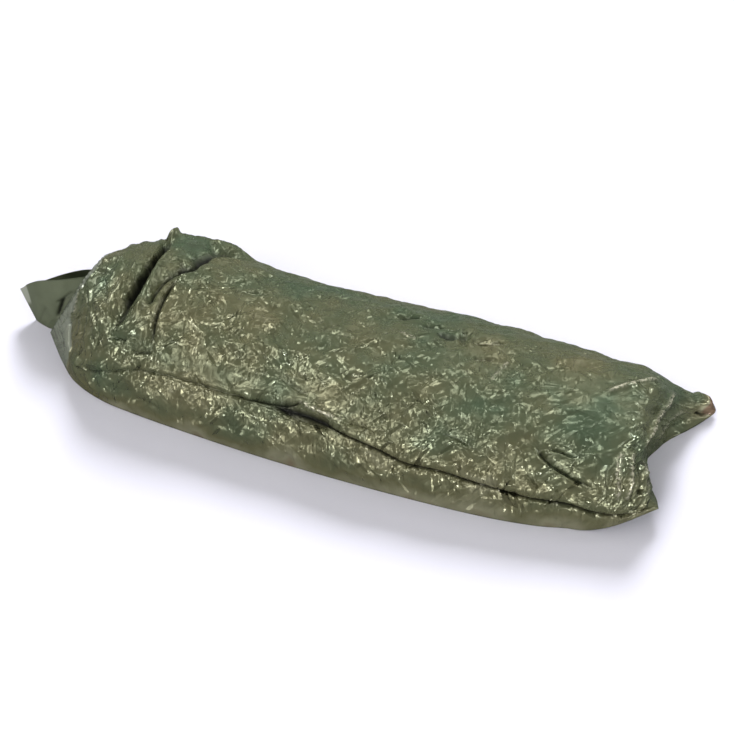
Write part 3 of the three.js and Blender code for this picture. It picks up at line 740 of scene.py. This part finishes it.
class Mesh:
    """Points and faces gathered piece by piece."""

    def __init__(self):
        self.points, self.faces = [], []

    def add(self, grid):
        """Adds a grid of points and returns the grid of their numbers."""
        grid = np.asarray(grid, float)
        first = len(self.points)
        self.points.extend(grid.reshape(-1, 3).tolist())
        return first + np.arange(grid[..., 0].size).reshape(grid.shape[:-1])

    def sheet(self, at, flip=False):
        quads = np.stack([at[:-1, :-1], at[1:, :-1], at[1:, 1:], at[:-1, 1:]], -1)
        quads = quads.reshape(-1, 4)
        self.faces.extend((quads[:, ::-1] if flip else quads).tolist())

    def gather(self, fine, coarse, flip=False):
        """Faces between a fine line of points and a coarser one beside it."""
        picks = np.round(np.linspace(0, len(fine) - 1, len(coarse))).astype(int)
        for n in range(len(coarse) - 1):
            run = [int(v) for v in fine[picks[n]:picks[n + 1] + 1]]
            face = run + [int(coarse[n + 1]), int(coarse[n])]
            face = [v for k, v in enumerate(face) if v != face[k - 1]]
            if len(set(face)) > 2:
                self.faces.append(face[::-1] if flip else face)

    def build(self, name, shades):
        """Makes the object, with values for its finish at the points that were added first."""
        mesh = bpy.data.meshes.new(name)
        points = [Vector(p) * MM + SHIFT for p in self.points]
        mesh.from_pydata(points, [], self.faces)
        for shade, values in shades.items():
            if values.ndim == 1:
                kind, field = "FLOAT", "value"
                full = np.zeros(len(self.points))
            else:
                kind, field = "FLOAT_VECTOR", "vector"
                full = np.array(self.points) * MM
            full[:len(values)] = values
            layer = mesh.attributes.new(shade, kind, "POINT")
            layer.data.foreach_set(field, full.ravel())
        mesh.validate()
        mesh.shade_smooth()
        obj = bpy.data.objects.new(name, mesh)
        bpy.context.scene.collection.objects.link(obj)
        return obj


def make_bag_film():
    """One closed shell: crumpled top, flat underside, and the lining inside them."""
    film = film_grid()
    places = film["places"]
    body = Mesh()
    top = body.add(film["point"])

    under_points = underside_grid(places, FLOOR_COLUMNS)
    under = np.zeros(under_points.shape[:2], int)
    under[:, 1:-1] = body.add(under_points[:, 1:-1])
    under[:, 0], under[:, -1] = top[:, 0], top[:, -1]
    body.sheet(top)
    body.sheet(under[:-1], flip=True)
    # The foot weld: the underside's last row is gathered onto the top's
    body.gather(top[-1], under[-2], flip=True)

    lining = body.add(lining_grid(film)[:-1])
    body.sheet(lining, flip=True)
    floor_points = underside_grid(places[::LINING_STEP][:-1], FLOOR_COLUMNS // 2)
    floor_points[..., 2] += WALL
    floor = np.zeros(floor_points.shape[:2], int)
    floor[:, 1:-1] = body.add(floor_points[:, 1:-1])
    floor[:, 0], floor[:, -1] = lining[:, 0], lining[:, -1]
    body.sheet(floor)
    body.gather(lining[-1], floor[-1])

    # The mouth's rim joins outside and inside
    body.gather(top[0], lining[0])
    body.gather(under[0], floor[0], flip=True)

    shades = {name: film[name].ravel() for name in ("hem", "crisp", "tint_and_shade", "fold_shade", "ridge_highlight")}
    shades["on_film"] = film["on_film"].reshape(-1, 3) * MM
    return body.build("bag_body_film", shades)


def hood_dent(row, drop):
    """How far each point of the hood's near side is pressed in by the wrinkles."""
    dent = np.zeros(row.shape)
    for values in HOOD_WRINKLES.values():
        wrinkle = dict(zip(HOOD_WRINKLE_COLUMNS, values))
        line = HOOD_SPAN * np.array([[wrinkle["from_row"], wrinkle["from_drop"]],
                                     [wrinkle["to_row"], wrinkle["to_drop"]]])
        nearest, _, share = near_line(line, HOOD_SPAN * row, HOOD_SPAN * drop)
        fade = smooth(0, HOOD_FADE, share) * smooth(0, HOOD_FADE, 1 - share)
        dent += wrinkle["depth"] * tent(nearest, wrinkle["width"]) * fade
    return dent


def hood_sections():
    """Each section's floor corners and rims, and its bow, evenly from tail to back edge."""
    tip_floor = HOOD_TIP_FLOOR[:2] + HOOD_TIP_FLOOR
    sections = np.array([*HOOD, [*tip_floor, *HOOD_TIP_RIM, *HOOD_TIP_RIM, 0]], float)
    key = np.arange(len(sections))
    table = np.column_stack([key, sections])
    cut = named(HOOD_COLUMNS, read_table(table, np.linspace(0, key[-1], HOOD_ROWS + 1))[:, 1:])
    corners = [("near_x", "near_y", "floor_z"), ("far_x", "far_y", "floor_z"),
               ("near_rim_x", "near_rim_y", "near_rim_z"),
               ("far_rim_x", "far_rim_y", "far_rim_z")]
    places = [np.stack([cut[name] for name in corner], -1)[:, None] for corner in corners]
    return places, cut["bow"][:, None]


def make_hood():
    """One U-shaped sheet from the near rim down, across the floor and up the far side."""
    (near_floor, far_floor, near_rim, far_rim), bow = hood_sections()
    row, drop = np.meshgrid(np.linspace(0, 1, HOOD_ROWS + 1),
                            np.linspace(0, 1, HOOD_WALL_STEPS + 1), indexing="ij")
    t = drop[:1, :, None]
    bulge = bow * np.sin(math.pi * drop)
    dent = hood_dent(row, drop)
    near = near_rim * (1 - t) + near_floor * t
    near[..., 1] += dent - bulge
    far = far_floor * (1 - t) + far_rim * t
    far[..., 1] += bulge
    s = np.linspace(0, 1, HOOD_FLOOR_STEPS + 1)[None, 1:-1, None]
    floor = near_floor * (1 - s) + far_floor * s
    outer = np.concatenate([near, floor, far], axis=1)
    outward = unit(np.cross(along_rows(outer), along_columns(outer)))
    inner = outer - outward * HOOD_WALL
    inner[..., 2] = np.maximum(inner[..., 2], outer[..., 2].min() + HOOD_WALL)

    hood = Mesh()
    out_at = hood.add(outer)
    in_at = np.vstack([hood.add(inner[:-1]), out_at[-1:]])
    hood.sheet(out_at, flip=True)
    hood.sheet(in_at)
    hood.sheet(np.stack([out_at[:, 0], in_at[:, 0]]))
    hood.sheet(np.stack([out_at[:, -1], in_at[:, -1]]), flip=True)
    hood.sheet(np.stack([out_at[0], in_at[0]]), flip=True)

    flange, fold_shade = np.zeros(outer.shape[:2]), np.zeros(outer.shape[:2])
    near_part = np.s_[:, :HOOD_WALL_STEPS + 1]
    flange[near_part] = (1 - smooth(*FLANGE_DROP, drop)) * smooth(
        FLANGE_FROM - FLANGE_EDGE, FLANGE_FROM + FLANGE_EDGE, row + FLANGE_LEAN * drop)
    # Painted shade in the wrinkles of the near side
    fold_shade[near_part] = np.clip((dent - HOOD_DEEP_FROM) / HOOD_DEEP_REACH, 0, 1)
    return hood.build("hood_panel", {"flange": flange.ravel(), "fold_shade": fold_shade.ravel()})


# Materials

def linear(hex_colour):
    """An sRGB hex colour as linear RGBA."""
    parts = [int(hex_colour[i:i + 2], 16) / 255 for i in (1, 3, 5)]
    return [p / 12.92 if p <= 0.04045 else ((p + 0.055) / 1.055) ** 2.4 for p in parts] + [1.0]


def node(tree, kind, settings=None, **links):
    """Adds a node, sets its properties, and fills its sockets.

    A socket goes by its name, or by i and its number where a name comes twice. It
    takes a value, an output, or a node, which stands for its first output in use.
    """
    made = tree.nodes.new("ShaderNode" + kind)
    for key, value in (settings or {}).items():
        setattr(made, key, value)
    for key, value in links.items():
        name = key.replace("_", " ")
        socket = made.inputs[int(key[1:])] if key[0] == "i" and key[1:].isdigit() else next(
            s for s in made.inputs if s.name.lower() == name.lower() and s.enabled)
        if isinstance(value, bpy.types.Node):
            value = next(output for output in value.outputs if output.enabled)
        if isinstance(value, bpy.types.NodeSocket):
            tree.links.new(value, socket)
        else:
            socket.default_value = value
    return made


def set_ramp(ramp_node, colours):
    """Gives a colour ramp its stops."""
    stops = ramp_node.color_ramp.elements
    stops.remove(stops[1])
    stops[0].position = min(colours)
    for place, colour in colours.items():
        stop = stops[0] if place == min(colours) else stops.new(place)
        stop.color = linear(colour)


def new_material(name):
    material = bpy.data.materials.new(name)
    material.use_nodes = True
    tree = material.node_tree
    tree.nodes.clear()
    return material, tree


def each_metre(size):
    """How many of a pattern's patches, of a size in mm, lie on a metre."""
    return 1 / (size * MM)


# The film's finest crinkles, in mm, degrees and slope: layers of small flat facets.
# Each layer is calm where a broad pattern has one value and busy where it has the other

SHARD_COLUMNS = ["width", "length", "turn", "tilt", "calm_at", "busy_at"]
SHARDS = [
    [24, 74, 16, 0.28, 0.65, 0.4],
    [10, 46, -34, 0.46, 0.35, 0.6],
    [8, 38, 50, 0.44, 0.65, 0.4],
    [5, 26, -78, 0.38, 0.35, 0.6],
]
TILT_SHARES = (0.4, 1.2)    # of a facet's tilt, where its layer is calm and busy
# Most facets lie nearly flat, and a few of them, by a throw of dice, stand up
LIFTED = {"From_Min": 0.62, "From_Max": 1.0, "To_Min": 0.1, "To_Max": 2.2}
EDGE_STRAY = 5              # mm that the facets' edges stray from straight
HEM_SMOOTHED = 0.6          # share of these crinkles that the hem presses flat

# The film's lacquer from dark green by way of olive to brown, and the tone of each.
# Its darkest stop is painted shade, for film that faces away from the light
LACQUER_AND_SHADE = {0.08: "#464f3d", 0.28: "#566650", 0.68: "#706f53", 0.86: "#96957c", 1.0: "#7a6552"}
HEM_COLOUR = "#91978a"
FOLD_SHADE_COLOUR = "#12150f"     # painted shade, deep in a fold where light fails
HIGHLIGHT_COLOUR = "#e0dcc8"     # painted highlight along ridges
HIGHLIGHT_FLECKS = (0.4, 0.56)   # of the fleck pattern, from no painted highlight to full
FILM_ROUGHNESS = (0.12, 0.2)
TONE_RANGE = (0.3, 0.7)     # tones over which the roughness grows
FOLD_ROUGHER = 0.35
CALM_ROUGHER = 0.1          # where the film is least crinkled

# Sizes in mm of its broad patterns: how the facets' edges stray, where each layer of
# them is busy, the lacquer's tone, and the streaks of the painted highlight on ridges
FILM_PATTERN = {"stray": 83.3, "busy": 143, "tone": 222, "flecks": 9.09}


def crinkled_normal(tree, place, harder):
    """Tilts the film's normal by a fixed amount over each of the finest facets."""
    on_film = node(tree, "Attribute", {"attribute_name": "on_film"}).outputs["Vector"]
    stray = node(tree, "TexNoise", Vector=place,
                 Scale=each_metre(FILM_PATTERN["stray"]), Detail=2.0).outputs["Color"]
    bent = node(tree, "VectorMath", {"operation": "MULTIPLY_ADD"},
                i0=stray, i1=[EDGE_STRAY * MM] * 3, i2=on_film)
    busy = node(tree, "TexNoise", Vector=place,
                Scale=each_metre(FILM_PATTERN["busy"]), Detail=1.0)
    normal = node(tree, "NewGeometry").outputs["Normal"]
    for row in SHARDS:
        shard = dict(zip(SHARD_COLUMNS, row))
        turned = node(tree, "Mapping", {"vector_type": "TEXTURE"}, Vector=bent,
                      Rotation=(0.0, 0.0, math.radians(shard["turn"])),
                      Scale=(shard["length"] * MM, shard["width"] * MM, 1.0))
        facet = node(tree, "TexVoronoi", {"voronoi_dimensions": "2D"},
                     Vector=turned, Scale=1.0).outputs["Color"]
        lean = node(tree, "VectorMath", {"operation": "SUBTRACT"}, i0=facet, i1=(0.5, 0.5, 0.5))
        least, most = (share * shard["tilt"] for share in TILT_SHARES)
        amount = node(tree, "MapRange", Value=busy, From_Min=shard["calm_at"],
                      From_Max=shard["busy_at"], To_Min=least, To_Max=most)
        dice = node(tree, "TexWhiteNoise", Vector=facet)
        lifted = node(tree, "MapRange", Value=dice, **LIFTED)
        for factor in (lifted, harder):
            amount = node(tree, "Math", {"operation": "MULTIPLY"}, i0=amount, i1=factor)
        tilt = node(tree, "VectorMath", {"operation": "SCALE"}, i0=lean, Scale=amount)
        normal = node(tree, "VectorMath", {"operation": "ADD"}, i0=normal, i1=tilt)
    return node(tree, "VectorMath", {"operation": "NORMALIZE"}, i0=normal)


# Metallised polyester film with an olive lacquer: it mirrors a little, and every
# crinkle is a small flat facet that shines or goes dark by itself. The metal makes
# it mirror more than bare polyester does, so its IOR is 1.8 in place of 1.6
def olive_metallised_film():
    material, tree = new_material("olive_metallised_film")
    place = node(tree, "TexCoord").outputs["Object"]
    hem, crisp, tint_and_shade, fold_shade, ridge_highlight = (
        node(tree, "Attribute", {"attribute_name": name}).outputs["Fac"]
        for name in ("hem", "crisp", "tint_and_shade", "fold_shade", "ridge_highlight"))
    off_hem = node(tree, "Math", {"operation": "MULTIPLY_ADD"},
                   i0=hem, i1=-HEM_SMOOTHED, i2=1.0)
    harder = node(tree, "Math", {"operation": "MULTIPLY_ADD"}, i0=crisp, i1=off_hem, i2=off_hem)

    tone = node(tree, "TexNoise", Vector=place,
                Scale=each_metre(FILM_PATTERN["tone"]), Detail=3.0, Roughness=0.6)
    # The lacquer's tint, with painted shade at the ramp's dark end
    colour_place = node(tree, "Math", {"operation": "ADD"}, i0=tint_and_shade, i1=tone)
    colour = node(tree, "ValToRGB", Fac=colour_place)
    set_ramp(colour, LACQUER_AND_SHADE)
    # A highlight is painted along some ridges, broken into streaks by the fleck pattern
    flecks = node(tree, "TexNoise", Vector=place,
                  Scale=each_metre(FILM_PATTERN["flecks"]), Detail=2.0)
    highlight_streaks = node(tree, "MapRange", Value=flecks,
                From_Min=HIGHLIGHT_FLECKS[0], From_Max=HIGHLIGHT_FLECKS[1])
    painted_highlight = node(tree, "Math", {"operation": "MULTIPLY"}, i0=ridge_highlight, i1=highlight_streaks)
    # The hem's own paler colour, then painted shade deep in folds and the painted highlight
    # along ridges
    for share, other in ((hem, HEM_COLOUR), (fold_shade, FOLD_SHADE_COLOUR), (painted_highlight, HIGHLIGHT_COLOUR)):
        colour = node(tree, "Mix", {"data_type": "RGBA"}, i0=share, i6=colour, i7=linear(other))

    rough = node(tree, "MapRange", Value=tone, From_Min=TONE_RANGE[0], From_Max=TONE_RANGE[1],
                 To_Min=FILM_ROUGHNESS[0], To_Max=FILM_ROUGHNESS[1])
    calm = node(tree, "Math", {"operation": "SUBTRACT"}, i0=1.0, i1=harder)
    calm = node(tree, "Math", {"operation": "MAXIMUM"}, i0=calm, i1=0.0)
    for share, rougher in ((fold_shade, FOLD_ROUGHER), (calm, CALM_ROUGHER)):
        rough = node(tree, "Math", {"operation": "MULTIPLY_ADD"},
                     i0=share, i1=rougher, i2=rough)
    shader = node(tree, "BsdfPrincipled", Base_Color=colour, Metallic=0.5,
                  Roughness=rough, IOR=1.8, Normal=crinkled_normal(tree, place, harder))
    node(tree, "OutputMaterial", Surface=shader)
    return material


# The hood's colours from dark to light, and the lighter film of its back weld
HOOD_COLOURS = {0.35: "#585f4b", 0.7: "#646b56"}
FLANGE_COLOUR = "#989c8e"
HOOD_PATTERN = {"tone": 71.4, "grain": 1.11}    # mm
GRAIN_HEIGHT = 0.3          # mm


# Plain film with a satin face: soft even shine, without crinkles. Its grain is drawn
# coarser than it is, so that it shows
def satin_olive_film():
    material, tree = new_material("satin_olive_film")
    place = node(tree, "TexCoord").outputs["Object"]
    flange, fold_shade = (
        node(tree, "Attribute", {"attribute_name": name}).outputs["Fac"]
        for name in ("flange", "fold_shade"))
    tone = node(tree, "TexNoise", Vector=place,
                Scale=each_metre(HOOD_PATTERN["tone"]), Detail=3.0)
    colour = node(tree, "ValToRGB", Fac=tone)
    set_ramp(colour, HOOD_COLOURS)
    # The back weld's own paler film, then painted shade in the wrinkles
    for share, other in ((flange, FLANGE_COLOUR), (fold_shade, FOLD_SHADE_COLOUR)):
        colour = node(tree, "Mix", {"data_type": "RGBA"}, i0=share, i6=colour, i7=linear(other))
    grain = node(tree, "TexNoise", Vector=place,
                 Scale=each_metre(HOOD_PATTERN["grain"]), Detail=1.0)
    bump = node(tree, "Bump", Strength=0.15, Distance=GRAIN_HEIGHT * MM, Height=grain)
    shader = node(tree, "BsdfPrincipled", Base_Color=colour,
                  Metallic=0.2, Roughness=0.48, IOR=1.5, Normal=bump)
    node(tree, "OutputMaterial", Surface=shader)
    return material


FLOOR_COLOUR = "#ccccda"
MIRRORED_COLOUR = "#5a5c58"


# Matt rolled paint, white to the eye, and dim where the film mirrors it
def pale_floor_paint():
    material, tree = new_material("pale_floor_paint")
    mirrored = node(tree, "LightPath").outputs["Is Glossy Ray"]
    colour = node(tree, "Mix", {"data_type": "RGBA"}, i0=mirrored,
                  i6=linear(FLOOR_COLOUR), i7=linear(MIRRORED_COLOUR))
    shader = node(tree, "BsdfPrincipled", Base_Color=colour, Roughness=0.9, IOR=1.3)
    node(tree, "OutputMaterial", Surface=shader)
    return material


# Camera, floor and light

CAMERA_AZIMUTH = math.radians(24)
CAMERA_ELEVATION = math.radians(38)
CAMERA_DISTANCE = 5.0
FOCAL_PIXELS = 1650
TARGET = Vector((0, 0, 0.1))    # in the maker's frame, metres
TARGET_DROP = 18                # pixels below the picture's middle
FLOOR_HALF = 30.0               # metres
FLOOR_DROP = 0.0005             # metres that the floor lies below the bag


def make_camera():
    a, e = CAMERA_AZIMUTH, CAMERA_ELEVATION
    back = Vector((math.sin(a) * math.cos(e), -math.cos(a) * math.cos(e), math.sin(e)))
    right = Vector((math.cos(a), math.sin(a), 0))
    up = back.cross(right)
    data = bpy.data.cameras.new("camera")
    data.lens = FOCAL_PIXELS * SENSOR / PHOTO_SIDE
    data.sensor_width = SENSOR
    data.clip_start, data.clip_end = 0.1, 50
    camera = bpy.data.objects.new("camera", data)
    rise = TARGET_DROP / FOCAL_PIXELS * CAMERA_DISTANCE
    camera.location = TARGET + SHIFT + back * CAMERA_DISTANCE + up * rise
    camera.rotation_euler = Matrix((right, up, back)).transposed().to_euler()
    bpy.context.scene.collection.objects.link(camera)
    bpy.context.scene.camera = camera


def make_floor():
    mesh = bpy.data.meshes.new("floor")
    corners = [(x * FLOOR_HALF, y * FLOOR_HALF, -FLOOR_DROP)
               for x, y in ((-1, -1), (1, -1), (1, 1), (-1, 1))]
    mesh.from_pydata(corners, [], [(0, 1, 2, 3)])
    mesh.materials.append(pale_floor_paint())
    floor = bpy.data.objects.new("floor", mesh)
    bpy.context.scene.collection.objects.link(floor)


def aim_lamp(name, kind, place, aim):
    data = bpy.data.lights.new(name, kind)
    lamp = bpy.data.objects.new(name, data)
    lamp.location = place
    lamp.rotation_euler = (Vector(place) - Vector(aim)).to_track_quat("Z", "Y").to_euler()
    bpy.context.scene.collection.objects.link(lamp)
    return lamp


# Broad soft light: where it comes from, how wide it is in degrees, and W/m2. It
# is so even that it isn't seen as a reflection
BROAD_LIGHT = {
    "key": [(-0.28, 0.8, 0.5), 18, 5.5],
    "near_fill": [(0.6, -3.0, 1.0), 50, 1.45],
    "right_fill": [(2.4, -0.8, 1.0), 60, 0.5],
}

# Small bright lamps, in metres and watts: their reflections are the glints on
# single facets
GLINT_SIZE = 0.2
GLINT_AIM = (0, 0, 0.1)
GLINT_LAMPS = {
    "near_left": [(-2.2, -2.0, 2.2), 4],
    "near_right": [(2.4, -1.8, 1.9), 8],
    "near_low": [(0.3, -3.2, 1.2), 7],
    "left": [(-3.2, 0.6, 2.0), 5],
    "far_right": [(2.6, 1.9, 2.4), 8],
    "right": [(3.2, -0.5, 1.5), 8],
    "right_low": [(3.2, -0.9, 0.7), 8],
}

# The studio round the bag, hung with cards: most are dim and a few are bright,
# but for those low down behind the bag
CARD_SCALE = 5.0            # cards in the studio's half width
DIM = 0.12
BRIGHT = 9.0
BRIGHT_POWER = 20
FAR_LOW = 0.25              # how high behind the bag the bright cards begin
CARD_RISE = 0.3             # height over which they come to full strength
STUDIO_COLOUR = "#fffdf4"


def make_light():
    world = bpy.data.worlds.new("studio")
    world.use_nodes = True
    tree = world.node_tree
    tree.nodes.clear()
    way = node(tree, "TexCoord").outputs["Generated"]
    cards = node(tree, "TexVoronoi", Vector=way, Scale=CARD_SCALE).outputs["Color"]
    dice = node(tree, "TexWhiteNoise", Vector=cards)
    lit = node(tree, "Math", {"operation": "POWER"}, i0=dice, i1=BRIGHT_POWER)
    place = node(tree, "SeparateXYZ", Vector=way).outputs
    height = node(tree, "Math", {"operation": "MULTIPLY_ADD"},
                  i0=place["Y"], i1=-FAR_LOW, i2=place["Z"])
    share = node(tree, "MapRange", Value=height, From_Min=0.0, From_Max=CARD_RISE)
    peak = node(tree, "Math", {"operation": "MULTIPLY"}, i0=lit, i1=share)
    glow = node(tree, "Math", {"operation": "MULTIPLY_ADD"}, i0=peak, i1=BRIGHT, i2=DIM)
    sky = node(tree, "Background", Color=linear(STUDIO_COLOUR), Strength=glow)
    node(tree, "OutputWorld", Surface=sky)
    bpy.context.scene.world = world
    for name, (place, width, strength) in BROAD_LIGHT.items():
        lamp = aim_lamp(name, "SUN", place, (0, 0, 0))
        lamp.data.angle = math.radians(width)
        lamp.data.energy = strength
        lamp.visible_glossy = False
    for name, (place, power) in GLINT_LAMPS.items():
        lamp = aim_lamp(name, "AREA", place, GLINT_AIM)
        lamp.data.size = GLINT_SIZE
        lamp.data.energy = power
        lamp.visible_diffuse = False
    bpy.context.scene.view_settings.view_transform = "Standard"


make_camera()
make_floor()
make_light()

bag_film = make_bag_film()
bag_film.data.materials.append(olive_metallised_film())
hood_panel = make_hood()
hood_panel.data.materials.append(satin_olive_film())

# Both pieces ride on the one body and take the place of their plain solids

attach(bag_film, "root")
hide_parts("bag_body")
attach(hood_panel, "root")
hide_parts("hood")
